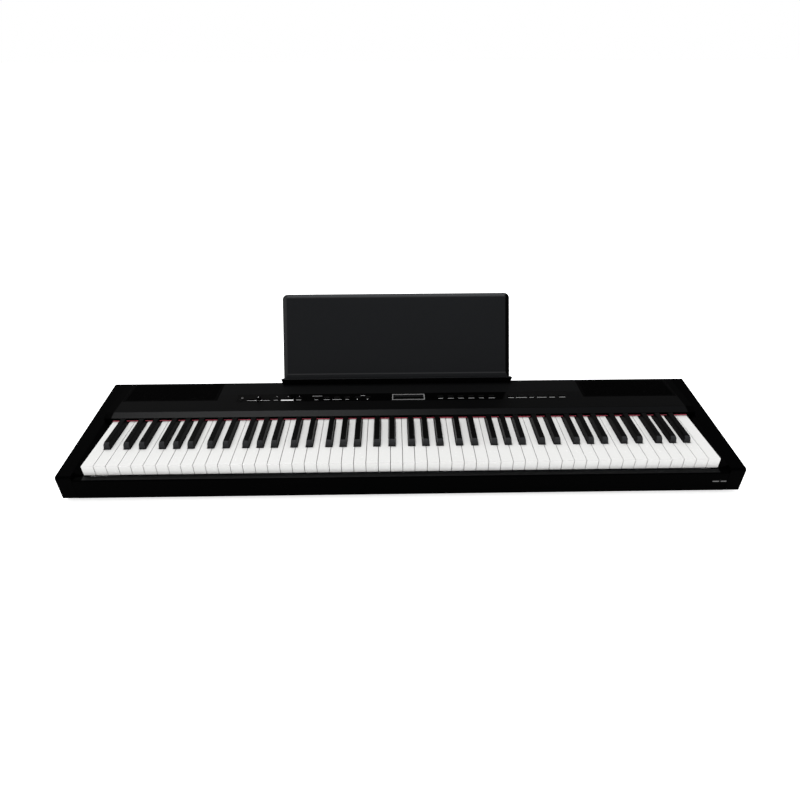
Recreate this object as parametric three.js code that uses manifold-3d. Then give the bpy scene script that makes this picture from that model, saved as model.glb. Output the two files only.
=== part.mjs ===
// Slab digital piano with a lift-out music rest: case, keybed, control panel, speakers and 88 keys.
// Millimetres, +X towards the treble, +Y away from the player, +Z up.
// The pieces are placed in the keyboard frame: its origin is the middle of the white keys' front top edge.
// The outer group moves that frame so that the whole object stands on z = 0, centred on x = 0 and y = 0.
import * as THREE from "three";
import { mergeVertices } from "three/addons/utils/BufferGeometryUtils.js";
import Module from "manifold-3d";

const wasm = await Module();
wasm.setup();

// ---------------------------------------------------------------- driving dimensions

const GAP = 0.3; // between pieces that touch
const CASE_WIDTH = 1318;
const CASE_FRONT = -13.5;
const CASE_BACK = 286;
const CASE_BOTTOM = -67.6;
const COVER_TOP = 12.2;
const WALL = 3;
const FOOT = { height: 8, radius: 15, inset: 90, front: 40, rear: 240 };

// The front rail's top slopes a little towards the player and rolls over into the front face.
const RAIL = { back: -1.2, rear: -22.5, crest: -23.5, shoulder: -24.8, face: -27.5, flat: 4, roll: 1.2 };

// The end cheeks: their top falls towards the player, and a chamfer leads down to the keys.
const CHEEK_WIDTH = 30;
const CHEEK_TOP_AT_KEYS = -14;
const CHEEK_SLOPE = 0.0874;
const CHEEK_NOSE = 5;
const CHAMFER_WIDTH = 15.8;
const CHAMFER_DROP = 7;

const KEY_COUNT = 88;
const LOWEST_NOTE = 21; // A0, counted in semitones as MIDI does
const OCTAVE = ["c", "cs", "d", "ds", "e", "f", "fs", "g", "gs", "a", "as", "b"];
const FIRST_MOVING_NOTE = 60; // middle C
const WHITE_PITCH = 23.5;
const WHITE_COUNT = 52;
const KEY_GAP = 1;
const WHITE_HEIGHT = 21.5;
const STICK_HEIGHT = 12;
const LIP_DEPTH = 6;
const KEY_REAR = 200;
const NOTCH_FRONT = 51.5;
const BLACK_FRONT = 53.3;
const BLACK_CAP_REAR = 141.5;
const BLACK_RISE = 12.5;
const BLACK_BASE = 12.6;
const BLACK_CREST = 9.8;
const BLACK_CLEARANCE = 1.2;
// A black key's front leans back to a shoulder, and a steeper slope joins it to the crest.
const BLACK_SHOULDER = { back: 1, drop: 3, crestBack: 5.5 };
const BLACK_STICK_TOP = -1;
const LIP_SLOPE = 4;
// Bars behind and under the fixed keys join them into two combs.
const WHITE_BAR = { front: 1.5, back: 6, top: -4, inset: 1 };
const BLACK_BAR = { front: 186, left: 20, right: 40, post: 4, drop: 4, thickness: 2, sink: 1.4 };
// How far each black key sits from the joint of its two white keys.
const BLACK_OFFSET = { cs: -3.4, ds: 3.4, fs: -4.7, gs: 0, as: 4.7 };

// The top cover starts in a low lip above the keys, and a gently slanted strip leads up from it.
const LIP_FRONT = 150;
const LIP_BOTTOM = 2;
const LIP_TOP = 7.5;
const STRIP_BACK = 167.5;
const COVER_END_BOTTOM = -3;
const COVER_REAR_DROP = 2.6;
const FELT = { depth: 3, bottom: 0.5 };

// An oval driver: the radii are across the cover, and the stretch is along it.
const SPEAKER = {
  stretch: 2.4,
  magnet: 22,
  magnetBottom: -30,
  magnetTop: -12,
  basket: 30,
  flange: 33,
  flangeBottom: 2,
  surround: 27,
  cap: 12,
  capRim: -6,
  capMiddle: -8,
};
const GRILLE = { inner: 405, outer: 612, front: 209, back: 280, thickness: 2.6 };
const PANEL = { left: -362, right: 373, front: 201, back: 231.5 };
const DISPLAY = { left: -19.5, right: 52.8, front: 203.7, back: 227.2, border: 2.2 };
const BUTTON = { pitch: 22.7, row: 216, width: 13, depth: 7, height: 6.5, proud: 1.2 };
const BUTTON_GROUPS = [
  { name: "rhythm_button", count: 3, x: -275.5, pitch: 25 },
  { name: "sound_button", count: 6, x: -186.5, pitch: BUTTON.pitch },
  { name: "function_button", count: 6, x: 87.6, pitch: BUTTON.pitch },
  { name: "tone_button", count: 6, x: 243.8, pitch: BUTTON.pitch },
];
const POWER = { x: -351.5, y: 210, radius: 4.2 };
const POWER_CAP = { proud: 1, height: 6 };
const SLIDER = { x: -314, y: 212, length: 50, width: 3, knobLength: 9, knobWidth: 11 };
const KNOB = { gap: 0.5, top: 6.5, stemHalfLength: 2, stemHalfWidth: 1, stemDepth: 6 };
const PANEL_CLEARANCE = 0.4;
const BEZEL_PROUD = 0.4;
const CUT_REACH = 9; // how far a cutter runs past the panel

const REST = {
  x: -8,
  width: 519,
  height: 190,
  thickness: 5,
  corner: 12,
  lean: THREE.MathUtils.degToRad(30),
  ledgeWidth: 530,
  ledgeFront: 273,
  ledgeDepth: 12,
  panelFoot: -6,
  ledgeTop: 26.5,
  shelf: 23,
  lip: 3,
  bladeWidth: 380,
  bladeDepth: 9,
  bladeBack: 1,
  bladeFront: 4,
  slotGap: 0.6,
};

const BOARD_THICKNESS = 12.6;
const REAR_PANEL_TOP = 5;

// The rear panel is interrupted by a block with a deep bay, and the sockets are in the bay's back wall.
const JACKS = { left: 190, right: 320, front: 262 };
const BAY = { left: 196, right: 314, bottom: -46, top: -20, depth: 16 };
const SOCKET_DEPTH = 1.5;
const POWER_SOCKET = { x: 14, radius: 5.5 };
const DATA_SOCKET = { left: 32, right: 43, half: 5 };
const OUTPUT_SOCKETS = { places: [61, 83, 105], radius: 4 };
const BOARD = { half: 120, front: 216, back: 272, raise: 4, thickness: 2 };
const BOARD_PARTS = { left: -70, right: 40, front: 226, back: 262, height: 16 };

// A pressed steel channel under the keys, with a front guide, a hammer hump and a pivot rail.
const CHANNEL = { front: 10, back: 204, sheet: 3, guideFront: 12, guideBack: 16, guideTop: -36 };
const HUMP = { front: 105, back: 165, shoulder: -34, crest: -27, crestFront: 120, crestBack: 150 };
const PIVOT = { front: 190, back: 196, drop: 6 };

// ---------------------------------------------------------------- materials

const plastic = (color, roughness = 0.5) =>
  new THREE.MeshStandardMaterial({ color, roughness, metalness: 0 });
const metal = (color, roughness) =>
  new THREE.MeshStandardMaterial({ color, roughness, metalness: 0.9 });
const CASE_BLACK = plastic(0x0c0c0e, 0.45);
const COVER_BLACK = plastic(0x121316, 0.4);
const GLOSS_BLACK = plastic(0x07070a, 0.12);
const BUTTON_GREY = plastic(0x1b1c1f, 0.55);
const WHITE_KEY = plastic(0xf4f4f0, 0.25);
const BLACK_KEY = plastic(0x0b0b0c, 0.35);
const REST_BLACK = plastic(0x1c1d20, 0.6);
const RED_FELT = plastic(0x8e1420, 0.95);
const RUBBER = plastic(0x101010, 0.9);
const LIGHT_FRAME = plastic(0xb9bcc0, 0.4);
const DISPLAY_GLASS = plastic(0x15181c, 0.08);
const CHIPBOARD = plastic(0x1a1815, 0.85);
const CONE_PAPER = plastic(0x161616, 0.8);
const STEEL = metal(0x9a9da1, 0.4);
const GRILLE_METAL = metal(0x101114, 0.6);
const CIRCUIT_GREEN = plastic(0x1d4a2c, 0.6);

// ---------------------------------------------------------------- shape helpers

const outline = (points) => new THREE.Shape(points.map(([a, b]) => new THREE.Vector2(a, b)));

function extrude(shape, depth, basis, offset) {
  const geometry = new THREE.ExtrudeGeometry(shape, { depth, bevelEnabled: false, curveSegments: 2 });
  return geometry.applyMatrix4(basis).translate(...offset);
}

const AXIS = { x: [1, 0, 0], y: [0, 1, 0], z: [0, 0, 1] };
const vector = (a) => new THREE.Vector3(...a);
const basisOf = (a, b, c) => new THREE.Matrix4().makeBasis(vector(a), vector(b), vector(c));

// A (y, z) outline swept from x0 to x1.
const alongX = (shape, x0, x1) =>
  extrude(shape, x1 - x0, basisOf(AXIS.y, AXIS.z, AXIS.x), [x0, 0, 0]);
// An (x, z) outline swept from y0 to y1.
const alongY = (shape, y0, y1) =>
  extrude(shape, y1 - y0, basisOf(AXIS.x, AXIS.z, [0, -1, 0]), [0, y1, 0]);
// An (x, y) outline swept from z0 to z1.
const alongZ = (shape, z0, z1) => extrude(shape, z1 - z0, new THREE.Matrix4(), [0, 0, z0]);

function box(x0, x1, y0, y1, z0, z1) {
  const geometry = new THREE.BoxGeometry(x1 - x0, y1 - y0, z1 - z0);
  return geometry.translate((x0 + x1) / 2, (y0 + y1) / 2, (z0 + z1) / 2);
}

function roundedRectangle(x0, x1, y0, y1, r) {
  const shape = new THREE.Shape();
  shape.moveTo(x0 + r, y0);
  shape.absarc(x1 - r, y0 + r, r, -Math.PI / 2, 0);
  shape.absarc(x1 - r, y1 - r, r, 0, Math.PI / 2);
  shape.absarc(x0 + r, y1 - r, r, Math.PI / 2, Math.PI);
  shape.absarc(x0 + r, y0 + r, r, Math.PI, 1.5 * Math.PI);
  return shape;
}

const upright = (radius, x, y, z0, z1, sides = 20) =>
  new THREE.CylinderGeometry(radius, radius, z1 - z0, sides)
    .rotateX(Math.PI / 2)
    .translate(x, y, (z0 + z1) / 2);

// A closed geometry as a manifold-3d solid, and back.
function solid(geometry) {
  const bare = geometry.clone();
  bare.deleteAttribute("normal");
  bare.deleteAttribute("uv");
  const merged = mergeVertices(bare, 1e-3);
  const vertProperties = new Float32Array(merged.attributes.position.array);
  const triVerts = new Uint32Array(merged.index.array);
  return new wasm.Manifold(new wasm.Mesh({ numProp: 3, vertProperties, triVerts }));
}

function geometryOf(body) {
  const mesh = body.getMesh();
  const geometry = new THREE.BufferGeometry();
  geometry.setAttribute("position", new THREE.BufferAttribute(mesh.vertProperties, 3));
  geometry.setIndex(new THREE.BufferAttribute(mesh.triVerts, 1));
  geometry.computeVertexNormals();
  return geometry;
}

const join = (geometries) => geometryOf(geometries.map(solid).reduce((a, b) => a.add(b)));
const cut = (geometry, holes) =>
  geometryOf(holes.map(solid).reduce((a, b) => a.subtract(b), solid(geometry)));
const common = (a, b) => geometryOf(solid(a).intersect(solid(b)));

const keyboard = new THREE.Group();

function add(name, geometry, material) {
  const mesh = new THREE.Mesh(geometry, material);
  mesh.name = name;
  keyboard.add(mesh);
  return mesh;
}

// ---------------------------------------------------------------- case

const HALF = CASE_WIDTH / 2;
const INNER_HALF = HALF - CHEEK_WIDTH - GAP;
const BOARD_TOP = CASE_BOTTOM + BOARD_THICKNESS;

function addCheek(name, side) {
  const top = (y) => CHEEK_TOP_AT_KEYS + CHEEK_SLOPE * y;
  const profile = new THREE.Shape();
  profile.moveTo(CASE_FRONT + CHEEK_NOSE, top(CASE_FRONT + CHEEK_NOSE));
  profile.quadraticCurveTo(CASE_FRONT, top(CASE_FRONT), CASE_FRONT, top(CASE_FRONT) - CHEEK_NOSE);
  profile.lineTo(CASE_FRONT, CASE_BOTTOM);
  profile.lineTo(CASE_BACK, CASE_BOTTOM);
  profile.lineTo(CASE_BACK, top(CASE_BACK));
  const inner = HALF - CHEEK_WIDTH;
  const slab = alongX(profile, inner, HALF);
  const below = 2 * CASE_BOTTOM;
  const section = outline([
    [inner - CHAMFER_WIDTH, below],
    [inner + 1, below],
    [inner + 1, CHEEK_TOP_AT_KEYS],
    [inner, CHEEK_TOP_AT_KEYS],
    [inner - CHAMFER_WIDTH, CHEEK_TOP_AT_KEYS - CHAMFER_DROP],
  ]);
  const shear = new THREE.Matrix4().set(1, 0, 0, 0, 0, 1, 0, 0, 0, CHEEK_SLOPE, 1, 0, 0, 0, 0, 1);
  const chamfered = alongY(section, RAIL.back + GAP, LIP_FRONT - GAP).applyMatrix4(shear);
  const room = box(0, HALF, CASE_FRONT, CASE_BACK, BOARD_TOP + GAP, COVER_TOP);
  const cheek = join([slab, common(chamfered, room)]);
  // The other cheek is the same shape turned over in x, with its faces turned back to face out.
  if (side < 0) {
    cheek.scale(-1, 1, 1);
    cheek.index.array.reverse();
  }
  add(name, cheek, CASE_BLACK);
}

function addCase() {
  const span = [-INNER_HALF, INNER_HALF];
  const boardFront = RAIL.back + GAP;
  const boardBack = CASE_BACK - WALL - GAP;
  add("bottom_board", box(...span, boardFront, boardBack, CASE_BOTTOM, BOARD_TOP), CHIPBOARD);

  const rail = outline([
    [CASE_FRONT, CASE_BOTTOM],
    [RAIL.back, CASE_BOTTOM],
    [RAIL.back, RAIL.rear],
    [CASE_FRONT + RAIL.flat, RAIL.crest],
    [CASE_FRONT + RAIL.roll, RAIL.shoulder],
    [CASE_FRONT, RAIL.face],
  ]);
  add("front_rail", alongX(rail, ...span), CASE_BLACK);
  addCheek("left_cheek", -1);
  addCheek("right_cheek", 1);

  const rearPanel = (x0, x1) =>
    box(x0, x1, CASE_BACK - WALL, CASE_BACK, CASE_BOTTOM, REAR_PANEL_TOP);
  add("rear_panel_left", rearPanel(-INNER_HALF, JACKS.left - GAP), CASE_BLACK);
  add("rear_panel_right", rearPanel(JACKS.right + GAP, INNER_HALF), CASE_BLACK);

  const x = HALF - FOOT.inset;
  const feet = {
    left_front: [-x, FOOT.front],
    right_front: [x, FOOT.front],
    left_rear: [-x, FOOT.rear],
    right_rear: [x, FOOT.rear],
  };
  for (const [place, spot] of Object.entries(feet)) {
    const low = CASE_BOTTOM - FOOT.height;
    add(`${place}_foot`, upright(FOOT.radius, ...spot, low, CASE_BOTTOM - GAP, 24), RUBBER);
  }
}

// The rest leans back in its own frame: u along x, v up its face, w out of its face.
const REST_UP = [0, Math.sin(REST.lean), Math.cos(REST.lean)];
const REST_OUT = [0, -Math.cos(REST.lean), Math.sin(REST.lean)];
const REST_BASIS = basisOf(AXIS.x, REST_UP, REST_OUT);
// The point where the back of the panel passes the shelf.
const REST_FOOT = [REST.x, 281, REST.ledgeTop].map((v, i) => v - REST.thickness * REST_OUT[i]);
const BLADE_TO_COVER = (REST.ledgeTop - COVER_TOP) / Math.cos(REST.lean);

function restBox(width, low, high, back, front) {
  return box(-width / 2, width / 2, low, high, back, front)
    .applyMatrix4(REST_BASIS)
    .translate(...REST_FOOT);
}

function addTopCover() {
  const profile = outline([
    [LIP_FRONT, LIP_BOTTOM],
    [LIP_FRONT, LIP_TOP],
    [STRIP_BACK, COVER_TOP],
    [CASE_BACK - WALL, COVER_TOP],
    [CASE_BACK, COVER_TOP - COVER_REAR_DROP],
    [CASE_BACK, REAR_PANEL_TOP + GAP],
    [CASE_BACK - WALL, REAR_PANEL_TOP + GAP],
    [CASE_BACK - WALL, COVER_TOP - WALL],
    [STRIP_BACK, COVER_TOP - WALL],
    [LIP_FRONT + WALL, LIP_TOP - WALL],
    [LIP_FRONT + WALL, LIP_BOTTOM],
  ]);
  const endWall = outline([
    [LIP_FRONT, COVER_END_BOTTOM],
    [LIP_FRONT, LIP_TOP],
    [STRIP_BACK, COVER_TOP],
    [CASE_BACK - WALL, COVER_TOP],
    [CASE_BACK - WALL, COVER_END_BOTTOM],
  ]);
  const shell = join([
    alongX(profile, -INNER_HALF, INNER_HALF),
    alongX(endWall, -INNER_HALF, -INNER_HALF + WALL),
    alongX(endWall, INNER_HALF - WALL, INNER_HALF),
  ]);
  const through = (x0, x1, y0, y1) =>
    box(x0 - GAP, x1 + GAP, y0 - GAP, y1 + GAP, COVER_TOP - 2 * WALL, COVER_TOP + WALL);
  const { bladeWidth, bladeBack, bladeFront, slotGap } = REST;
  const holes = [
    through(-GRILLE.outer, -GRILLE.inner, GRILLE.front, GRILLE.back),
    through(GRILLE.inner, GRILLE.outer, GRILLE.front, GRILLE.back),
    through(PANEL.left, PANEL.right, PANEL.front, PANEL.back),
    restBox(bladeWidth + 2 * slotGap, -2 * BLADE_TO_COVER, 0, bladeBack - slotGap, bladeFront + slotGap),
  ];
  add("top_cover", cut(shell, holes), COVER_BLACK);
}

// ---------------------------------------------------------------- speakers and electronics

function addSpeakers() {
  const { inner, outer, front, back, thickness } = GRILLE;
  const y = (front + back) / 2;
  for (const [side, sign] of [["left", -1], ["right", 1]]) {
    const [x0, x1] = sign < 0 ? [-outer, -inner] : [inner, outer];
    const plate = box(x0, x1, front, back, COVER_TOP - thickness, COVER_TOP);
    add(`${side}_grille`, plate, GRILLE_METAL);

    // An oval chassis: a round magnet, a basket, a flange and a cone, turned and then stretched along x.
    const flange = COVER_TOP - WALL - GAP;
    const section = [
      [0, SPEAKER.magnetBottom],
      [SPEAKER.magnet, SPEAKER.magnetBottom],
      [SPEAKER.magnet, SPEAKER.magnetTop],
      [SPEAKER.basket, SPEAKER.flangeBottom],
      [SPEAKER.flange, SPEAKER.flangeBottom],
      [SPEAKER.flange, flange],
      [SPEAKER.surround, flange],
      [SPEAKER.cap, SPEAKER.capRim],
      [0, SPEAKER.capMiddle],
    ];
    const turned = new THREE.LatheGeometry(
      section.map(([r, z]) => new THREE.Vector2(r, z)),
      28,
    );
    const driver = turned.rotateX(Math.PI / 2).scale(SPEAKER.stretch, 1, 1);
    add(`${side}_speaker`, driver.translate(sign * (inner + outer) / 2, y, 0), CONE_PAPER);
  }
}

function addElectronics() {
  const low = BOARD_TOP + GAP;
  const sheet = low + BOARD.raise;
  const board = box(-BOARD.half, BOARD.half, BOARD.front, BOARD.back, sheet, sheet + BOARD.thickness);
  const { left: x0, right: x1, front: y0, back: y1, height } = BOARD_PARTS;
  add("main_board", join([board, box(x0, x1, y0, y1, low, low + height)]), CIRCUIT_GREEN);

  const { left, right, bottom, top, depth } = BAY;
  const z = (bottom + top) / 2;
  const bayBack = CASE_BACK - depth;
  // The block fills the whole height behind the bottom board, and drops past the board's rear edge.
  const outer = outline([
    [JACKS.front, BOARD_TOP + GAP],
    [CASE_BACK - WALL, BOARD_TOP + GAP],
    [CASE_BACK - WALL, CASE_BOTTOM],
    [CASE_BACK, CASE_BOTTOM],
    [CASE_BACK, REAR_PANEL_TOP],
    [JACKS.front, REAR_PANEL_TOP],
  ]);
  const block = alongX(outer, JACKS.left, JACKS.right);
  const bay = box(left, right, bayBack, CASE_BACK + 1, bottom, top);
  const round = (x, radius) =>
    new THREE.CylinderGeometry(radius, radius, 2 * SOCKET_DEPTH, 16).translate(x, bayBack, z);
  const sockets = [
    bay,
    round(left + POWER_SOCKET.x, POWER_SOCKET.radius),
    box(
      left + DATA_SOCKET.left,
      left + DATA_SOCKET.right,
      bayBack - SOCKET_DEPTH,
      bayBack + 1,
      z - DATA_SOCKET.half,
      z + DATA_SOCKET.half,
    ),
    ...OUTPUT_SOCKETS.places.map((x) => round(left + x, OUTPUT_SOCKETS.radius)),
  ];
  add("jack_block", cut(block, sockets), RUBBER);
}

// ---------------------------------------------------------------- control panel

const buttons = BUTTON_GROUPS.flatMap(({ name, count, x, pitch }) =>
  Array.from({ length: count }, (_, i) => ({ name: `${name}_${i + 1}`, x: x + i * pitch })),
);

function addControlPanel() {
  const low = COVER_TOP - WALL;
  const reach = [low - CUT_REACH, COVER_TOP + CUT_REACH];
  const gap = PANEL_CLEARANCE;
  const { width, depth, row, height, proud } = BUTTON;
  const hole = (x0, x1, y0, y1) => box(x0 - gap, x1 + gap, y0 - gap, y1 + gap, ...reach);
  const buttonHoles = buttons.map(({ x }) =>
    hole(x - width / 2, x + width / 2, row - depth / 2, row + depth / 2),
  );
  const slotAcross = [SLIDER.y - SLIDER.width / 2, SLIDER.y + SLIDER.width / 2];
  const slotAlong = [SLIDER.x - SLIDER.length / 2, SLIDER.x + SLIDER.length / 2];
  const slider = box(...slotAlong, ...slotAcross, ...reach);
  const powerHole = upright(POWER.radius + gap, POWER.x, POWER.y, ...reach);
  const { left, right, front, back, border } = DISPLAY;
  const plate = box(PANEL.left, PANEL.right, PANEL.front, PANEL.back, low, COVER_TOP);
  const displayHole = hole(left, right, front, back);
  add("control_panel", cut(plate, [...buttonHoles, slider, powerHole, displayHole]), GLOSS_BLACK);

  const frame = box(left, right, front, back, low, COVER_TOP + BEZEL_PROUD);
  const view = [left + border, right - border, front + border, back - border];
  add("display_bezel", cut(frame, [box(...view, ...reach)]), LIGHT_FRAME);
  const glass = view.map((v, i) => v + (i % 2 ? -GAP : GAP));
  add("display_window", box(...glass, low, COVER_TOP - BEZEL_PROUD), DISPLAY_GLASS);

  for (const { name, x } of buttons) {
    const cap = roundedRectangle(-width / 2, width / 2, -depth / 2, depth / 2, 1.5);
    const top = COVER_TOP + proud;
    add(name, alongZ(cap, top - height, top), BUTTON_GREY).position.set(x, row, 0);
  }
  const powerTop = COVER_TOP + POWER_CAP.proud;
  const powerSpan = [powerTop - POWER_CAP.height, powerTop];
  add("power_button", upright(POWER.radius, POWER.x, POWER.y, ...powerSpan), BUTTON_GREY);

  const kx = SLIDER.knobLength / 2;
  const ky = SLIDER.knobWidth / 2;
  const { stemHalfLength: sx, stemHalfWidth: sy } = KNOB;
  const cap = box(-kx, kx, -ky, ky, COVER_TOP + KNOB.gap, COVER_TOP + KNOB.top);
  const stem = box(-sx, sx, -sy, sy, COVER_TOP - KNOB.stemDepth, COVER_TOP + 2 * KNOB.gap);
  add("volume_knob", join([cap, stem]), BUTTON_GREY).position.set(SLIDER.x, SLIDER.y, 0);
}

// ---------------------------------------------------------------- keys

const whiteEdge = (index) => (index - WHITE_COUNT / 2) * WHITE_PITCH;

// Each key from A0 to C8 with its place: white keys by their index, black ones by their centre.
function layOutKeys() {
  const keys = [];
  let whites = 0;
  for (let i = 0; i < KEY_COUNT; i++) {
    const note = LOWEST_NOTE + i;
    const pitchClass = OCTAVE[note % 12];
    const name = `key_${pitchClass}${Math.floor(note / 12) - 1}`;
    const moving = note >= FIRST_MOVING_NOTE && note < FIRST_MOVING_NOTE + 12;
    if (pitchClass in BLACK_OFFSET)
      keys.push({ name, moving, black: true, x: whiteEdge(whites) + BLACK_OFFSET[pitchClass] });
    else keys.push({ name, moving, black: false, index: whites++ });
  }
  return keys;
}

const keys = layOutKeys();

// The side outline of a white key: a tall lip in front and a shallow stick behind it.
function whiteProfile(rear) {
  return outline([
    [0, 0],
    [0, -WHITE_HEIGHT],
    [LIP_DEPTH, -WHITE_HEIGHT],
    [LIP_DEPTH + LIP_SLOPE, -STICK_HEIGHT],
    [rear, -STICK_HEIGHT],
    [rear, 0],
  ]);
}

function whiteKey(position, rear) {
  const { index } = keys[position];
  const left = whiteEdge(index) + KEY_GAP / 2;
  const right = whiteEdge(index + 1) - KEY_GAP / 2;
  const slot = BLACK_BASE / 2 + BLACK_CLEARANCE;
  const before = keys[position - 1];
  const after = keys[position + 1];
  const plan = [[left, 0], [right, 0]];
  const tailLeft = before?.black ? before.x + slot : left;
  const tailRight = after?.black ? after.x - slot : right;
  if (after?.black) plan.push([right, NOTCH_FRONT], [tailRight, NOTCH_FRONT]);
  plan.push([tailRight, rear], [tailLeft, rear]);
  if (before?.black) plan.push([tailLeft, NOTCH_FRONT], [left, NOTCH_FRONT]);
  const tall = alongZ(outline(plan), -WHITE_HEIGHT - 1, 1);
  return common(tall, alongX(whiteProfile(rear), left - 1, right + 1));
}

// A black key: a tapered cap with a slanted front over a stick that runs under the cover.
function blackKey(position, stickBottom) {
  const { x } = keys[position];
  const profile = outline([
    [BLACK_FRONT, stickBottom],
    [KEY_REAR, stickBottom],
    [KEY_REAR, BLACK_STICK_TOP],
    [BLACK_CAP_REAR, BLACK_STICK_TOP],
    [BLACK_CAP_REAR, BLACK_RISE],
    [BLACK_FRONT + BLACK_SHOULDER.crestBack, BLACK_RISE],
    [BLACK_FRONT + BLACK_SHOULDER.back, BLACK_RISE - BLACK_SHOULDER.drop],
    [BLACK_FRONT, 0],
  ]);
  const section = outline([
    [x - BLACK_BASE / 2, stickBottom],
    [x + BLACK_BASE / 2, stickBottom],
    [x + BLACK_BASE / 2, 0],
    [x + BLACK_CREST / 2, BLACK_RISE],
    [x - BLACK_CREST / 2, BLACK_RISE],
    [x - BLACK_BASE / 2, 0],
  ]);
  const wide = alongX(profile, x - BLACK_BASE, x + BLACK_BASE);
  return common(wide, alongY(section, BLACK_FRONT - 1, KEY_REAR + 1));
}

function addKeys() {
  const all = keys.map((key, position) => ({ ...key, position }));
  for (const { name, black, position } of all.filter((key) => key.moving)) {
    const geometry = black ? blackKey(position, -STICK_HEIGHT) : whiteKey(position, KEY_REAR);
    add(name, geometry, black ? BLACK_KEY : WHITE_KEY);
  }
  // The keys outside the moving octave are joined at their rear ends, on a bar that clears the octave.
  const still = all.filter((key) => !key.moving);
  const reach = whiteEdge(WHITE_COUNT) - WHITE_BAR.inset;
  const barFront = KEY_REAR + WHITE_BAR.front;
  const barBack = KEY_REAR + WHITE_BAR.back;
  const whites = still.filter((key) => !key.black).map((key) => whiteKey(key.position, barBack));
  const whiteBar = box(-reach, reach, barFront, barBack, -STICK_HEIGHT, WHITE_BAR.top);
  add("white_keys", join([whiteBar, ...whites]), WHITE_KEY);

  const { front, left, right, post, drop, thickness, sink } = BLACK_BAR;
  const low = -STICK_HEIGHT - drop;
  const fixedBlacks = still.filter((key) => key.black);
  const blacks = fixedBlacks.map((key) => blackKey(key.position, -STICK_HEIGHT));
  const posts = fixedBlacks.map(({ x }) =>
    box(x - post, x + post, front + 1, KEY_REAR - GAP, low, 1 - STICK_HEIGHT),
  );
  const blackBar = box(left - reach, reach - right, front, KEY_REAR, low - thickness, -STICK_HEIGHT - sink);
  add("black_keys", join([blackBar, ...posts, ...blacks]), BLACK_KEY);
}

function addKeybed() {
  const half = whiteEdge(WHITE_COUNT) - 2;
  const low = BOARD_TOP + GAP;
  const floor = low + CHANNEL.sheet;
  const pivotTop = -STICK_HEIGHT - PIVOT.drop - GAP;
  const frame = outline([
    [CHANNEL.front, low],
    [CHANNEL.back, low],
    [CHANNEL.back, floor],
    [PIVOT.back, floor],
    [PIVOT.back, pivotTop],
    [PIVOT.front, pivotTop],
    [PIVOT.front, floor],
    [HUMP.back, floor],
    [HUMP.back, HUMP.shoulder],
    [HUMP.crestBack, HUMP.crest],
    [HUMP.crestFront, HUMP.crest],
    [HUMP.front, HUMP.shoulder],
    [HUMP.front, floor],
    [CHANNEL.guideBack, floor],
    [CHANNEL.guideBack, CHANNEL.guideTop],
    [CHANNEL.guideFront, CHANNEL.guideTop],
    [CHANNEL.guideFront, floor],
    [CHANNEL.front, floor],
  ]);
  add("key_frame", alongX(frame, -half, half), STEEL);
  const felt = whiteEdge(WHITE_COUNT);
  const feltFront = LIP_FRONT - FELT.depth / 2;
  const span = [feltFront, feltFront + FELT.depth, FELT.bottom, LIP_BOTTOM - GAP];
  add("name_felt", box(-felt, felt, ...span), RED_FELT);
}

// ---------------------------------------------------------------- music rest

function addMusicRest() {
  const { width, height, corner, panelFoot } = REST;
  const sheet = new THREE.Shape();
  sheet.moveTo(-width / 2, panelFoot);
  sheet.lineTo(width / 2, panelFoot);
  sheet.absarc(width / 2 - corner, height - corner, corner, 0, Math.PI / 2);
  sheet.absarc(-width / 2 + corner, height - corner, corner, Math.PI / 2, Math.PI);
  const panel = extrude(sheet, REST.thickness, REST_BASIS, REST_FOOT);

  const { x, ledgeWidth, ledgeFront, ledgeDepth, ledgeTop, shelf, lip } = REST;
  const low = COVER_TOP + GAP;
  const section = outline([
    [ledgeFront, low],
    [ledgeFront + ledgeDepth - 1, low],
    [ledgeFront + ledgeDepth, shelf],
    [ledgeFront + lip, shelf],
    [ledgeFront + lip, ledgeTop],
    [ledgeFront, ledgeTop],
  ]);
  const ledge = alongX(section, x - ledgeWidth / 2, x + ledgeWidth / 2);
  const reach = BLADE_TO_COVER + REST.bladeDepth;
  const blade = restBox(REST.bladeWidth, -reach, panelFoot, REST.bladeBack, REST.bladeFront);
  add("music_rest", join([panel, ledge, blade]), REST_BLACK);
}

addCase();
addTopCover();
addSpeakers();
addElectronics();
addControlPanel();
addKeybed();
addKeys();
addMusicRest();

// The rest's rear top edge is the rearmost point of the object.
const REST_BACK = REST_FOOT[1] + REST.height * REST_UP[1];
keyboard.position.set(0, -(CASE_FRONT + REST_BACK) / 2, FOOT.height - CASE_BOTTOM);
const piano = new THREE.Group();
piano.add(keyboard);

export default piano;
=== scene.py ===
"""Looks of a slab digital piano: case, cover, grilles, control panel, 88 keys and a lift-out music rest.

Points are given in the keyboard frame, in millimetres: x to the treble, y to the back, z up, from the
middle of the white keys' front top edge. at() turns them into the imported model's frame, in metres.
"""

import math

import bmesh
import bpy
from mathutils import Euler, Matrix, Vector, noise


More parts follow.
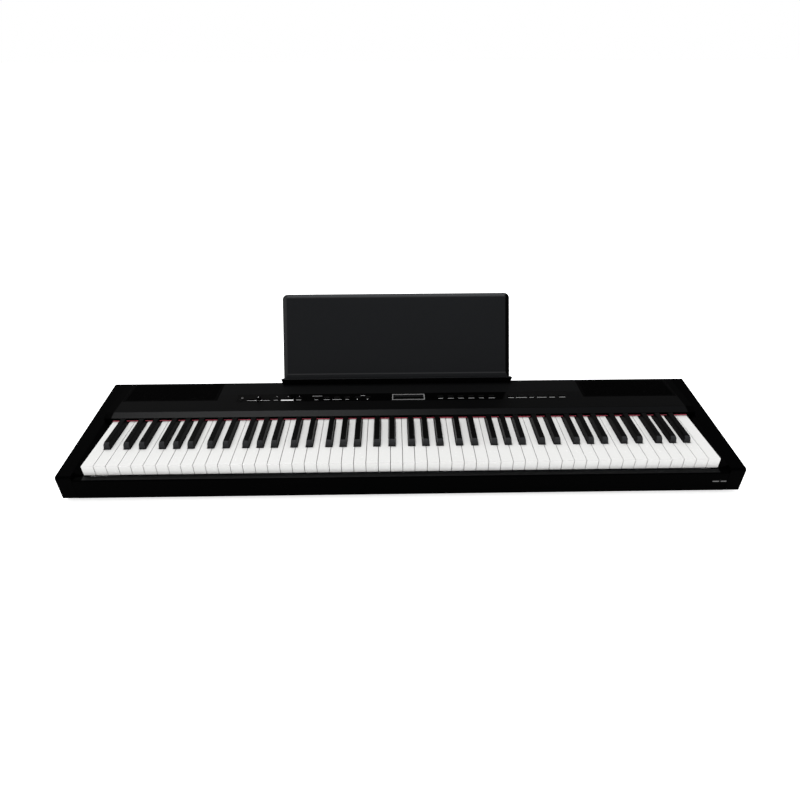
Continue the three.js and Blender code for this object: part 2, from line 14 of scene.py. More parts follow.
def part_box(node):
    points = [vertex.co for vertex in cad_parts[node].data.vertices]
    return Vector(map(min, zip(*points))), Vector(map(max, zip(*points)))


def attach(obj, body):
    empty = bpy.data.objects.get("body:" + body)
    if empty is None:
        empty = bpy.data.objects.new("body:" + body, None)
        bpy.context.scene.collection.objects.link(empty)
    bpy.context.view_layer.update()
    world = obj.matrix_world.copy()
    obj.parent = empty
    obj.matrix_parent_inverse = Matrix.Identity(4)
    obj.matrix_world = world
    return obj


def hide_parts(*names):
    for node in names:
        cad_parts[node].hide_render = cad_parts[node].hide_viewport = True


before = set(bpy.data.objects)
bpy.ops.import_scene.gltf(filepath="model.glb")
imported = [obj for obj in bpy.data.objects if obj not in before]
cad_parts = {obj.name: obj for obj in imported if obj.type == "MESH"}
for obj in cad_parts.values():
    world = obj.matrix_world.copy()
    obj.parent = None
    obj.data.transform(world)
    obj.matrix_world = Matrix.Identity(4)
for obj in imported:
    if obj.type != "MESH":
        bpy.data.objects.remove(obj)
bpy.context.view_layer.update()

MM = 0.001
key_low, key_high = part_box("key_c4")
ORIGIN = Vector((0.0, key_low.y, key_high.z))


def at(x, y, z):
    """A point of the keyboard frame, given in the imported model's frame."""
    return ORIGIN + Vector((x, y, z)) * MM


def in_mm(point):
    """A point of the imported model, given in the keyboard frame."""
    return (point - ORIGIN) / MM


def node_mm(node):
    """A CAD node's lowest and highest corner in the keyboard frame."""
    low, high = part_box(node)
    return in_mm(low), in_mm(high)


# ---------------------------------------------------------------- camera

# The angles are in radians, the lens and the sensor in millimetres.
CAMERA_AT = (-16.2, -834.2, 673.4)
PITCH_DOWN = 0.567438
YAW = -0.0134988
ROLL = -0.0036833
LENS = 25.158
SENSOR = 36.0

camera_data = bpy.data.cameras.new("camera")
camera_data.sensor_width = SENSOR
camera_data.lens = LENS
camera = bpy.data.objects.new("camera", camera_data)
aim = Euler((math.pi / 2 - PITCH_DOWN, 0.0, YAW)).to_matrix() @ Matrix.Rotation(ROLL, 3, "Z")
camera.matrix_world = Matrix.Translation(at(*CAMERA_AT)) @ aim.to_4x4()
bpy.context.scene.collection.objects.link(camera)
bpy.context.scene.camera = camera
bpy.context.scene.view_settings.view_transform = "Standard"

# ---------------------------------------------------------------- materials


def surface(name, dark, light, rough, grain=1500.0, bump=0.15, depth=0.00004, patch=9.0, stretch=None,
            **sockets):
    """A moulded or painted surface: colour drifts between two tones, and a fine grain sets gloss and relief.

    rough is the least and the most roughness, grain and patch are the fine and the broad noise's scale, bump
    and depth are the relief's strength and height, and stretch scales both noises along x, y and z.
    """
    material = bpy.data.materials.new(name)
    material.use_nodes = True
    nodes, links = material.node_tree.nodes, material.node_tree.links
    shader = nodes["Principled BSDF"]
    place = nodes.new("ShaderNodeTexCoord").outputs["Object"]
    if stretch:
        mapping = nodes.new("ShaderNodeMapping")
        mapping.inputs["Scale"].default_value = stretch
        links.new(place, mapping.inputs["Vector"])
        place = mapping.outputs["Vector"]
    drift = nodes.new("ShaderNodeTexNoise")
    drift.inputs["Scale"].default_value = patch
    drift.inputs["Detail"].default_value = 4.0
    links.new(place, drift.inputs["Vector"])
    tone = nodes.new("ShaderNodeMix")
    tone.data_type = "RGBA"
    tone.inputs["A"].default_value = (*dark, 1.0)
    tone.inputs["B"].default_value = (*light, 1.0)
    links.new(drift.outputs["Fac"], tone.inputs["Factor"])
    links.new(tone.outputs["Result"], shader.inputs["Base Color"])
    fine = nodes.new("ShaderNodeTexNoise")
    fine.inputs["Scale"].default_value = grain
    fine.inputs["Detail"].default_value = 3.0
    links.new(place, fine.inputs["Vector"])
    gloss = nodes.new("ShaderNodeMapRange")
    gloss.inputs["From Min"].default_value = 0.3
    gloss.inputs["From Max"].default_value = 0.7
    gloss.inputs["To Min"].default_value = rough[0]
    gloss.inputs["To Max"].default_value = rough[1]
    links.new(fine.outputs["Fac"], gloss.inputs["Value"])
    links.new(gloss.outputs["Result"], shader.inputs["Roughness"])
    relief = nodes.new("ShaderNodeBump")
    relief.inputs["Strength"].default_value = bump
    relief.inputs["Distance"].default_value = depth
    links.new(fine.outputs["Fac"], relief.inputs["Height"])
    links.new(relief.outputs["Normal"], shader.inputs["Normal"])
    for socket, value in sockets.items():
        shader.inputs[socket.replace("_", " ")].default_value = value
    return material


def grey(value, tint=(1.0, 1.0, 1.0)):
    """A grey of one value, or one tinted a little."""
    return tuple(value * c for c in tint)


COOL = (0.97, 1.0, 1.06)
SLATE = (0.93, 1.0, 1.13)

CASE = surface("case_black", grey(0.0002, COOL), grey(0.0005, COOL), (0.42, 0.55),
               Specular_IOR_Level=0.004)
COVER = surface("cover_black", grey(0.0009, COOL), grey(0.0015, COOL), (0.40, 0.52),
                Specular_IOR_Level=0.012)
MATTE = surface("cover_matte_strip", grey(0.0026, COOL), grey(0.0035, COOL), (0.55, 0.7),
                grain=900.0, bump=0.4, Specular_IOR_Level=0.012)
# The slanted strip's own bluish grey, lifted paler as painted light for the light it catches.
STRIP_TONE_AND_PAINTED_LIGHT = surface("cover_slanted_strip_tone_and_painted_light", grey(0.0022, SLATE), grey(0.0030, SLATE),
                (0.30, 0.38), Specular_IOR_Level=0.032)
GLOSS = surface("panel_gloss", grey(0.0003), grey(0.0005), (0.10, 0.16), grain=60.0, bump=0.02,
                Specular_IOR_Level=0.02)
GRILLE = surface("grille_paint", grey(0.0004), grey(0.0007), (0.45, 0.6), Specular_IOR_Level=0.004)
BUTTON = surface("button_plastic", grey(0.0005), grey(0.0009), (0.42, 0.55), Specular_IOR_Level=0.02)
WHITE = surface("white_key_plastic", (0.66, 0.66, 0.65), (0.68, 0.68, 0.67), (0.22, 0.28),
                grain=160.0, bump=0.01, patch=2.0, Coat_Weight=0.15, Coat_Roughness=0.12)
BLACK = surface("black_key_plastic", grey(0.0005), grey(0.0009), (0.22, 0.30), grain=900.0,
                bump=0.12, stretch=(1.0, 0.2, 1.0), Specular_IOR_Level=0.022)
# Painted highlight: the black keys' forward faces get this paler colour for the light they catch.
BLACK_FRONT_PAINTED_HIGHLIGHT = surface("black_key_front", grey(0.020, COOL), grey(0.028, COOL), (0.26, 0.36), grain=900.0,
                     bump=0.12, Specular_IOR_Level=0.1)
# The rest's own grey; on the ledge's top it also stands as a painted highlight.
REST_PLASTIC_AND_LEDGE_HIGHLIGHT = surface("rest_plastic", grey(0.0076, SLATE), grey(0.0100, SLATE), (0.44, 0.54), grain=1100.0,
               bump=0.3, patch=3.0, Specular_IOR_Level=0.08)
# Painted light: the rest's rim on the left, at the top and along the field's lower border gets this paler
# colour for the light that falls on it.
RIM_PAINTED_LIGHT = surface("rest_rim_painted_light", grey(0.021, COOL), grey(0.026, COOL), (0.4, 0.5), grain=1100.0,
              bump=0.2, Specular_IOR_Level=0.12)
# Painted highlight: the rest's top edge gets this pale colour for the light it catches.
RIM_TOP_PAINTED_HIGHLIGHT = surface("rest_top_edge_painted_highlight", grey(0.052, COOL), grey(0.062, COOL), (0.4, 0.5), grain=1100.0,
                  bump=0.2, Specular_IOR_Level=0.12)
# The ledge's own black, also used as painted shade on the right side of the rest's rim.
LEDGE_BLACK_AND_RIM_SHADE = surface("rest_ledge_black_and_rim_shade", grey(0.0004), grey(0.0007), (0.4, 0.5), Specular_IOR_Level=0.02)
FELT = surface("red_felt_cloth", (0.46, 0.025, 0.06), (0.66, 0.05, 0.10), (0.9, 1.0), grain=2600.0,
               bump=0.9, depth=0.0003, Sheen_Weight=0.5, Sheen_Roughness=0.6)
RUBBER = surface("foot_rubber", grey(0.006), grey(0.010), (0.75, 0.9), grain=700.0, bump=0.5)
FRAME = surface("display_frame_plastic", grey(0.13), grey(0.17), (0.35, 0.45), Specular_IOR_Level=0.2)
GLASS = surface("display_glass", grey(0.003, COOL), grey(0.005, COOL), (0.06, 0.10), grain=40.0,
                bump=0.0, Specular_IOR_Level=0.08)
LCD = surface("display_segments", grey(0.015, COOL), grey(0.020, COOL), (0.4, 0.5))
# Painted light: the rail's upward faces get this paler colour for the light that falls on them.
RAIL_TOP_PAINTED_LIGHT = surface("rail_top_painted_light", grey(0.0042, COOL), grey(0.0058, COOL), (0.45, 0.6), grain=900.0, bump=0.3,
                   Specular_IOR_Level=0.06)
PRINT = surface("panel_print", grey(0.28), grey(0.36), (0.5, 0.6), grain=3000.0)
MARK = surface("rail_mark_print", grey(0.07), grey(0.09), (0.5, 0.6), grain=3000.0)
PRINT_BRIGHT = surface("panel_print_bright", grey(0.75), grey(0.85), (0.5, 0.6), grain=3000.0)
CHIPBOARD = surface("board_chips", (0.010, 0.009, 0.008), (0.045, 0.036, 0.026), (0.8, 0.95),
                    grain=420.0, bump=0.6, depth=0.0002, patch=300.0)
STEEL = surface("zinc_steel", grey(0.35), grey(0.50), (0.3, 0.45), grain=500.0,
                stretch=(0.05, 1.0, 1.0), Metallic=1.0)
NICKEL = surface("nickel_ring", grey(0.55), grey(0.65), (0.18, 0.28), Metallic=1.0)
CONE = surface("cone_paper", grey(0.010), grey(0.020), (0.8, 0.95), grain=900.0, bump=0.5)
BASKET = surface("speaker_rubber", grey(0.004), grey(0.006), (0.5, 0.6))
CIRCUIT = surface("circuit_green", (0.008, 0.05, 0.018), (0.014, 0.085, 0.03), (0.3, 0.45),
                  grain=800.0, patch=120.0)
SOCKET = surface("socket_plastic", grey(0.0012), grey(0.0020), (0.5, 0.65), Specular_IOR_Level=0.1)

# ---------------------------------------------------------------- mesh helpers


def mesh_of(name, faces):
    """A mesh from faces given as corner points in the keyboard frame; equal points become one vertex."""
    points, index, polygons = [], {}, []
    for face in faces:
        polygon = []
        for point in face:
            key = tuple(round(c, 4) for c in point)
            if key not in index:
                index[key] = len(points)
                points.append(at(*point))
            if not polygon or polygon[-1] != index[key]:
                polygon.append(index[key])
        if len(set(polygon)) > 2:
            polygons.append(polygon)
    mesh = bpy.data.meshes.new(name)
    mesh.from_pydata(points, [], polygons)
    work = bmesh.new()
    work.from_mesh(mesh)
    bmesh.ops.recalc_face_normals(work, faces=work.faces)
    work.to_mesh(mesh)
    work.free()
    return mesh


def piece(name, mesh, materials, body, slot, *nodes, bevel=0.0, segments=3):
    """A visible piece that rides on a body, stands for CAD nodes, and has its edges rounded by bevel mm."""
    shown = bpy.data.objects.new(name, mesh)
    bpy.context.scene.collection.objects.link(shown)
    for material in materials if isinstance(materials, list) else [materials]:
        mesh.materials.append(material)
    mesh.polygons.foreach_set("use_smooth", [True] * len(mesh.polygons))
    if bevel:
        rounding = shown.modifiers.new("edges", "BEVEL")
        rounding.width = bevel * MM
        rounding.segments = segments
        rounding.limit_method = "ANGLE"
        rounding.angle_limit = math.radians(25)
        shading = shown.modifiers.new("shading", "WEIGHTED_NORMAL")
        shading.weight = 100
        shading.keep_sharp = True
    else:
        mesh.set_sharp_from_angle(angle=math.radians(40))
    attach(shown, body)
    if nodes:
        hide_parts(*nodes)
    return shown


def solid(name, faces, materials, body, slot, *nodes, **edges):
    """A visible piece made of faces in the keyboard frame."""
    return piece(name, mesh_of(name, faces), materials, body, slot, *nodes, **edges)


def mesh_of_node(node, name):
    """A copy of a CAD node's mesh with its flat faces whole again."""
    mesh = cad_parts[node].data.copy()
    mesh.name = name
    mesh.materials.clear()
    work = bmesh.new()
    work.from_mesh(mesh)
    bmesh.ops.remove_doubles(work, verts=work.verts, dist=1e-6)
    bmesh.ops.dissolve_limit(
        work, angle_limit=math.radians(1.0), verts=work.verts, edges=work.edges,
    )
    for face in work.faces:
        face.material_index = 0
    work.to_mesh(mesh)
    work.free()
    return mesh


def carry(node, material, slot, bevel=0.5):
    """The CAD node's shape again, on the case, with rounded edges and its finish."""
    name = f"{node}_shell"
    return piece(name, mesh_of_node(node, name), material, "case", slot, node, bevel=bevel)


def cut(work, planes):
    """Split a bmesh's faces along planes, each a normal and a point in the keyboard frame."""
    for normal, place in planes:
        bmesh.ops.bisect_plane(
            work, geom=[*work.verts, *work.edges, *work.faces], plane_co=at(*place), plane_no=normal,
        )


def swept(profile, x0, x1):
    """Faces of a (y, z) outline swept along x: the two ends, then the sides."""
    ends = [[(x, y, z) for y, z in profile] for x in (x0, x1)]
    sides = [
        [ends[0][i], ends[0][i - 1], ends[1][i - 1], ends[1][i]] for i in range(len(profile))
    ]
    return [*ends, *sides]


def rounded(x0, x1, y0, y1, radius, z, steps=6):
    """A rounded rectangle's points at height z, anticlockwise."""
    corners = [
        (x1 - radius, y0 + radius, -90.0),
        (x1 - radius, y1 - radius, 0.0),
        (x0 + radius, y1 - radius, 90.0),
        (x0 + radius, y0 + radius, 180.0),
    ]
    points = []
    for cx, cy, start in corners:
        for i in range(steps + 1):
            a = math.radians(start + 90.0 * i / steps)
            points.append((cx + radius * math.cos(a), cy + radius * math.sin(a), z))
    return points


def ring(cx, cy, radius, z, steps=32, wide=1.0):
    """A circle's points at height z, or an oval's where wide stretches it along x."""
    turns = [2 * math.pi * i / steps for i in range(steps)]
    return [(cx + wide * radius * math.cos(a), cy + radius * math.sin(a), z) for a in turns]


def loft(rings, closed=(True, True)):
    """Faces through rings of equal point count, with the first and last ring capped if closed."""
    faces = []
    for a, b in zip(rings, rings[1:]):
        faces += [[a[i - 1], a[i], b[i], b[i - 1]] for i in range(len(a))]
    if closed[0]:
        faces.append(list(reversed(rings[0])))
    if closed[1]:
        faces.append(list(rings[-1]))
    return faces


def pad(x0, x1, y0, y1, radius, sections, steps=6):
    """Faces of a rounded slab: sections are (inset, z) from the bottom up."""
    return loft([
        rounded(x0 + i, x1 - i, y0 + i, y1 - i, max(radius - i, 0.05), z, steps) for i, z in sections
    ])


# ---------------------------------------------------------------- case

(left_x, _, case_bottom), (_, case_back, _) = node_mm("left_cheek")
right_x = node_mm("right_cheek")[1].x
case_front = node_mm("front_rail")[0].y
COVER_TOP = node_mm("top_cover")[1].z

CHEEK_SLOPE = 0.0874
CHEEK_TOP = -14.0
CHEEK_WIDTH = 30.0
NOSE = 5.0
NOSE_STEPS = 8
# The block inside each cheek, beside the end keys. Its top slopes down towards them.
BLOCK_WIDTH = 15.8
BLOCK_FRONT, BLOCK_REAR, BLOCK_BOTTOM = -0.9, 149.7, -54.4
BLOCK_DROP = 7.0
BLOCK_GAP, BLOCK_STEP = 0.02, 0.1


def cheek_top(y):
    return CHEEK_TOP + CHEEK_SLOPE * y


def add_cheek(side, name, outer):
    """A cheek's wall with its rounded nose, and the block inside it."""
    inner = outer - side * CHEEK_WIDTH
    nose = []
    for i in range(NOSE_STEPS + 1):
        a = math.radians(90.0 * i / NOSE_STEPS)
        y = case_front + NOSE - NOSE * math.sin(a)
        nose.append((y, cheek_top(y) - NOSE * (1.0 - math.cos(a))))
    profile = [*nose, (case_front, case_bottom), (case_back, case_bottom),
               (case_back, cheek_top(case_back))]
    solid(f"{name}_wall", swept(profile, inner, outer), CASE, "case", "case_plastic", name,
          bevel=1.0, segments=4)

    wall_x, keys_x = inner - side * BLOCK_GAP, inner - side * BLOCK_WIDTH
    rings = []
    for y in (BLOCK_FRONT, BLOCK_REAR):
        section = [(wall_x, BLOCK_BOTTOM), (keys_x, BLOCK_BOTTOM), (keys_x, cheek_top(y) - BLOCK_DROP),
                   (wall_x, cheek_top(y) - BLOCK_STEP)]
        rings.append([(x, y, z) for x, z in section])
    solid(f"{name}_key_block", loft(rings), CASE, "case", "case_plastic", name, bevel=0.8)


add_cheek(-1, "left_cheek", left_x)
add_cheek(1, "right_cheek", right_x)

# The rail's top front edge: how far behind the front, and how far below the top, from back to front.
RAIL_EDGE = ((4.0, 1.0), (1.8, 1.7), (0.5, 3.2), (0.0, 5.0))
# Half the width of the rail's top that gets painted light, a paler colour, along the keys.
KEY_WELL = 611.0
# A plain two-dash mark near the right end of the front, flush with it.
MARK_TOP, MARK_BOTTOM = -43.6, -46.2
MARK_DASHES = ((601.0, 613.5), (617.0, 628.0))


def add_rail():
    """The front rail, whose top is painted a little paler along the keys as painted light, with the mark in
    its front.
    """
    looks = [CASE, RAIL_TOP_PAINTED_LIGHT, MARK]
    low, high = node_mm("front_rail")
    profile = [(case_front, case_bottom), (high.y, case_bottom), (high.y, high.z)]
    profile += [(case_front + back, high.z - down) for back, down in RAIL_EDGE]
    joins = (low.x, -KEY_WELL, KEY_WELL, high.x)
    faces = []
    for x0, x1 in zip(joins, joins[1:]):
        faces += swept(profile, x0, x1)[2:]
    faces += swept(profile, low.x, high.x)[:2]
    mesh = mesh_of("front_rail_face", faces)
    for polygon in mesh.polygons:
        along_keys = abs(in_mm(polygon.center).x) < KEY_WELL
        # Upward faces along the keys get the painted light.
        if polygon.normal.z > 0.8 and along_keys:
            polygon.material_index = looks.index(RAIL_TOP_PAINTED_LIGHT)

    work = bmesh.new()
    work.from_mesh(mesh)
    planes = [((1, 0, 0), (x, 0, 0)) for dash in MARK_DASHES for x in dash]
    planes += [((0, 0, 1), (0, 0, z)) for z in (MARK_BOTTOM, MARK_TOP)]
    cut(work, planes)
    for face in work.faces:
        middle = in_mm(face.calc_center_median())
        on_dash = any(a < middle.x < b for a, b in MARK_DASHES)
        if face.normal.y < -0.9 and on_dash and MARK_BOTTOM < middle.z < MARK_TOP:
            face.material_index = looks.index(MARK)
    work.to_mesh(mesh)
    work.free()
    piece("front_rail_face", mesh, looks, "case", "case_plastic", "front_rail", bevel=0.4)


add_rail()
carry("bottom_board", CHIPBOARD, "chipboard", bevel=0.6)
carry("rear_panel_left", CASE, "case_plastic", bevel=0.6)
carry("rear_panel_right", CASE, "case_plastic", bevel=0.6)

# A foot's (radius, height) from its middle out: a dimple, a tread, a groove and a second tread.
FOOT_TREADS = ((0.4, 1.6), (5.0, 1.6), (5.4, 0.0), (8.0, 0.0), (8.4, 1.2), (9.6, 1.2), (10.0, 0.0))
# The foot's wall: (distance inside the widest part, height).
FOOT_WALL = ((1.6, 0.0), (0.5, 0.5), (0.1, 1.6), (0.4, 4.0))
FOOT_TAPER = 1.4


def add_foot(node):
    low, high = node_mm(node)
    cx, cy = (low.x + high.x) / 2, (low.y + high.y) / 2
    radius = (high.x - low.x) / 2
    sections = [*FOOT_TREADS, *[(radius - inset, z) for inset, z in FOOT_WALL]]
    sections.append((radius - FOOT_TAPER, high.z - low.z))
    rings = [ring(cx, cy, r, low.z + z, 40) for r, z in sections]
    solid(f"{node}_rubber", loft(rings), RUBBER, "case", "rubber_foot", node)


for place in ("left_front", "right_front", "left_rear", "right_rear"):
    add_foot(f"{place}_foot")

# ---------------------------------------------------------------- top cover

GRILLE_INNER = node_mm("right_grille")[0].x
STRIP_END = 613.0
STRIP_REAR = 166.3
MATTE_FRONT, MATTE_BACK = 231.8, 281.5


def add_cover():
    """The cover's top in satin black, its matte centre strip at the rear, and the slanted strip in front,
    whose paler bluish tone is partly its own and partly painted light.
    """
    looks = [COVER, MATTE, STRIP_TONE_AND_PAINTED_LIGHT, CASE]
    strip = looks.index(STRIP_TONE_AND_PAINTED_LIGHT)
    mesh = mesh_of_node("top_cover", "top_cover_skin")
    work = bmesh.new()
    work.from_mesh(mesh)
    planes = [((1, 0, 0), (x, 0, 0)) for x in (-STRIP_END, -GRILLE_INNER, GRILLE_INNER, STRIP_END)]
    planes += [((0, 1, 0), (0, y, 0)) for y in (STRIP_REAR, MATTE_FRONT, MATTE_BACK)]
    cut(work, planes)
    for face in work.faces:
        # The slanted strip's faces are picked by their tilt; its paler tone is partly painted light.
        middle = in_mm(face.calc_center_median())
        on_matte = abs(middle.x) < GRILLE_INNER and MATTE_FRONT < middle.y < MATTE_BACK
        if abs(middle.x) > STRIP_END or face.normal.y < -0.9:
            face.material_index = looks.index(CASE)
        elif face.normal.z > 0.995 and on_matte:
            face.material_index = looks.index(MATTE)
        elif face.normal.z > 0.3 and face.normal.y < -0.1 and middle.y < STRIP_REAR:
            face.material_index = strip
    # The strip's borders stay sharp, so that its shading is flat.
    for edge in work.edges:
        sides = {face.material_index for face in edge.link_faces}
        edge.smooth = not (strip in sides and len(sides) > 1)
    work.to_mesh(mesh)
    work.free()
    piece("top_cover_skin", mesh, looks, "case", "cover_plastic", "top_cover", bevel=0.5)


add_cover()

# ---------------------------------------------------------------- speakers

GRILLE_BORDER = 3.5
HOLE_PITCH = 3.0
HOLE_RADIUS = 1.02
HOLE_DEPTH = 1.1
HOLE_FLARE, HOLE_FLARE_DEPTH = 0.12, 0.15
# One hole's cell is an eight-point rectangle, so that it meets its eight-point hole point for point.
COMPASS = ((1, 0), (1, 1), (0, 1), (-1, 1), (-1, 0), (-1, -1), (0, -1), (1, -1))
SIDES = len(COMPASS)


def add_grille(node):
    """A perforated sheet with a plain rim: real holes in a staggered grid, turned down at their edges."""
    low, high = node_mm(node)
    row_pitch = HOLE_PITCH * math.sqrt(0.75)
    columns = int((high.x - low.x - 2 * GRILLE_BORDER) / HOLE_PITCH) - 1
    rows = int((high.y - low.y - 2 * GRILLE_BORDER) / row_pitch)
    x0 = (low.x + high.x - (columns + 0.5) * HOLE_PITCH) / 2
    y0 = (low.y + high.y - rows * row_pitch) / 2
    x1, y1 = x0 + (columns + 0.5) * HOLE_PITCH, y0 + rows * row_pitch
    top = high.z
    levels = [(HOLE_RADIUS + HOLE_FLARE, top), (HOLE_RADIUS, top - HOLE_FLARE_DEPTH),
              (HOLE_RADIUS, top - HOLE_DEPTH)]
    points, faces = [], []
    for row in range(rows):
        shift = HOLE_PITCH / 2 * (row % 2)
        for column in range(columns):
            cx, cy = x0 + shift + (column + 0.5) * HOLE_PITCH, y0 + (row + 0.5) * row_pitch
            start = len(points)
            for dx, dy in COMPASS:
                points.append(at(cx + dx * HOLE_PITCH / 2, cy + dy * row_pitch / 2, top))
            for radius, z in levels:
                for i in range(SIDES):
                    a = 2 * math.pi * i / SIDES
                    points.append(at(cx + radius * math.cos(a), cy + radius * math.sin(a), z))
            for level in range(len(levels)):
                for i in range(SIDES):
                    j = (i + 1) % SIDES
                    base, over = start + SIDES * level, start + SIDES * level + SIDES
                    faces.append((base + i, base + j, over + j, over + i))
        # The half cell that the stagger leaves at one end of the row.
        edge = x0 if shift else x1 - HOLE_PITCH / 2
        start = len(points)
        for x, y in ((0, 0), (HOLE_PITCH / 2, 0), (HOLE_PITCH / 2, row_pitch), (0, row_pitch)):
            points.append(at(edge + x, y0 + row * row_pitch + y, top))
        faces.append((start, start + 1, start + 2, start + 3))
    mesh = bpy.data.meshes.new(f"{node}_holes")
    mesh.from_pydata(points, [], faces)
    piece(f"{node}_holes", mesh, GRILLE, "case", "grille_metal", node)

    rings = [
        rounded(low.x + i, high.x - i, low.y + i, high.y - i, 1.0, z)
        for i, z in ((0.0, low.z), (0.0, top - 0.5), (0.15, top - 0.15), (0.5, top))
    ]
    rings.append(rounded(x0, x1, y0, y1, 0.02, top))
    rings.append(rounded(x0, x1, y0, y1, 0.02, top - HOLE_DEPTH))
    solid(f"{node}_rim", loft(rings, closed=(False, False)), GRILLE, "case", "grille_metal", node)


# The driver, by its shorter radius and its height.
MAGNET_RADIUS, MAGNET_TOP = 22.0, -12.0
FLANGE = 4.2
ROLL_RADIUS, ROLL_HEIGHT, ROLL_DROP = 2.2, 1.5, 1.6
CONE_DEPTH = 12.0
CONE_INNER = 10.0
RIPPLE = 0.25
DUST_CAP_RADIUS, DUST_CAP_HEIGHT = 9.6, 3.2
ROLL_STEPS, CONE_STEPS, DUST_CAP_STEPS = 8, 12, 6


def add_speaker(node):
    """An oval driver under the grille: magnet, basket, rolled surround, ribbed cone and dust cap."""
    low, high = node_mm(node)
    cx, cy = (low.x + high.x) / 2, (low.y + high.y) / 2
    wide = (high.x - low.x) / (high.y - low.y)
    edge = (high.y - low.y) / 2
    flange = high.z
    basket = [
        (0.5, low.z), (MAGNET_RADIUS - 0.5, low.z), (MAGNET_RADIUS, low.z + 0.6),
        (MAGNET_RADIUS, MAGNET_TOP), (MAGNET_RADIUS + 3.0, MAGNET_TOP + 4.0), (edge - 3.5, 1.0),
        (edge - 0.4, 2.2), (edge, 3.0), (edge, flange - 0.4), (edge - 0.4, flange), (edge - FLANGE, flange),
    ]
    rings = [ring(cx, cy, r, z, 64, wide) for r, z in basket]
    solid(f"{node}_basket", loft(rings, closed=(True, False)), BASKET, "case", "speaker_cone", node)

    cone = [(edge - FLANGE, flange)]
    roll_middle = edge - FLANGE - ROLL_RADIUS
    for i in range(ROLL_STEPS + 1):
        a = math.pi * i / ROLL_STEPS
        cone.append((roll_middle + ROLL_RADIUS * math.cos(a), flange - ROLL_DROP + ROLL_HEIGHT * math.sin(a)))
    cone_edge = roll_middle - ROLL_RADIUS
    for i in range(1, CONE_STEPS + 1):
        t = i / CONE_STEPS
        ripple = RIPPLE * math.sin(t * 9 * math.pi)
        fall = ROLL_DROP + CONE_DEPTH * t ** 0.8
        cone.append((cone_edge - t * (cone_edge - CONE_INNER), flange - fall + ripple))
    middle_z = flange - ROLL_DROP - CONE_DEPTH
    for i in range(1, DUST_CAP_STEPS + 1):
        a = math.pi / 2 * i / DUST_CAP_STEPS
        radius = max(DUST_CAP_RADIUS * math.cos(a), 0.3)
        cone.append((radius, middle_z + DUST_CAP_HEIGHT * math.sin(a)))
    rings = [ring(cx, cy, r, z, 64, wide) for r, z in cone]
    solid(f"{node}_diaphragm", loft(rings, closed=(False, True)), CONE, "case", "speaker_cone", node)


for side in ("left", "right"):
    add_grille(f"{side}_grille")
    add_speaker(f"{side}_speaker")

# ---------------------------------------------------------------- display

carry("control_panel", GLOSS, "gloss_panel", bevel=0.25)
carry("display_bezel", FRAME, "display_frame", bevel=0.35)

glass_low, glass_high = node_mm("display_window")
glass_sections = [(0.0, glass_low.z), (0.0, glass_high.z - 0.15), (0.15, glass_high.z)]
glass = pad(glass_low.x, glass_high.x, glass_low.y, glass_high.y, 0.8, glass_sections)
solid("display_window_glass", glass, GLASS, "case", "display_glass", "display_window")

# Prints stand a hair above the surface they are on, and reach a hair into it.
PROUD = 0.06
SUNK = 0.05


def bar(x0, x1, y, height, base=COVER_TOP):
    """A printed dash with round ends."""
    half = height / 2
    return pad(x0, x1, y - half, y + half, half * 0.98, [(0.0, base - SUNK), (0.0, base + PROUD)], steps=4)


def dot(x, y, radius):
    """A printed dot on the cover."""
    return loft([ring(x, y, radius, z, 16) for z in (COVER_TOP - SUNK, COVER_TOP + PROUD)])


def arc(x, y, radius, start, end, width, steps=14):
    """A printed arc on the cover from start to end degrees."""
    faces = []
    inner, outer = radius - width / 2, radius + width / 2
    for i in range(steps):
        a, b = (math.radians(start + (end - start) * k / steps) for k in (i, i + 1))
        corners = [(inner, a), (outer, a), (outer, b), (inner, b)]
        flat = [(x + r * math.cos(t), y + r * math.sin(t)) for r, t in corners]
        faces += loft([[(px, py, z) for px, py in flat] for z in (COVER_TOP - SUNK, COVER_TOP + PROUD)])
    return faces


# One line of plain segments in the display's lower half.
VIEW_MARGIN = 2.0
SEGMENT_COUNT = 32
SEGMENT_START, SEGMENT_END = 0.15, 1.75
SEGMENT_HEIGHT = 4.6
SEGMENT_LINE = 0.3
view_left, view_right = glass_low.x + VIEW_MARGIN, glass_high.x - VIEW_MARGIN
view_front, view_rear = glass_low.y + VIEW_MARGIN, glass_high.y - VIEW_MARGIN
line_y = view_front + (view_rear - view_front) * SEGMENT_LINE
segments = []
for i in range(SEGMENT_COUNT):
    start = view_left + i * (view_right - view_left) / SEGMENT_COUNT
    segments += bar(start + SEGMENT_START, start + SEGMENT_END, line_y, SEGMENT_HEIGHT, glass_high.z)
solid("display_segment_lines", segments, LCD, "case", "display_glass")

# ---------------------------------------------------------------- buttons and slider

# Each cap's edge, from the side to the dished top: (inset, distance below the top).
BUTTON_EDGE = ((0.0, 0.7), (0.12, 0.35), (0.35, 0.1), (0.7, 0.0), (1.5, 0.0), (2.0, 0.12), (2.7, 0.2))
POWER_EDGE = ((0.0, 0.6), (0.2, 0.2), (0.6, 0.0), (1.2, 0.0), (1.8, 0.15))
KNOB_EDGE = ((0.5, 0.8), (0.9, 0.25), (1.5, 0.0), (2.6, 0.3), (3.2, 0.6))
BUTTON_CORNER = 1.5

for node in [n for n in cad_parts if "_button_" in n]:
    low, high = node_mm(node)
    sections = [(0.0, low.z), *[(inset, high.z - drop) for inset, drop in BUTTON_EDGE]]
    cap = pad(low.x, high.x, low.y, high.y, BUTTON_CORNER, sections)
    solid(f"{node}_cap", cap, BUTTON, node, "button_plastic", node)

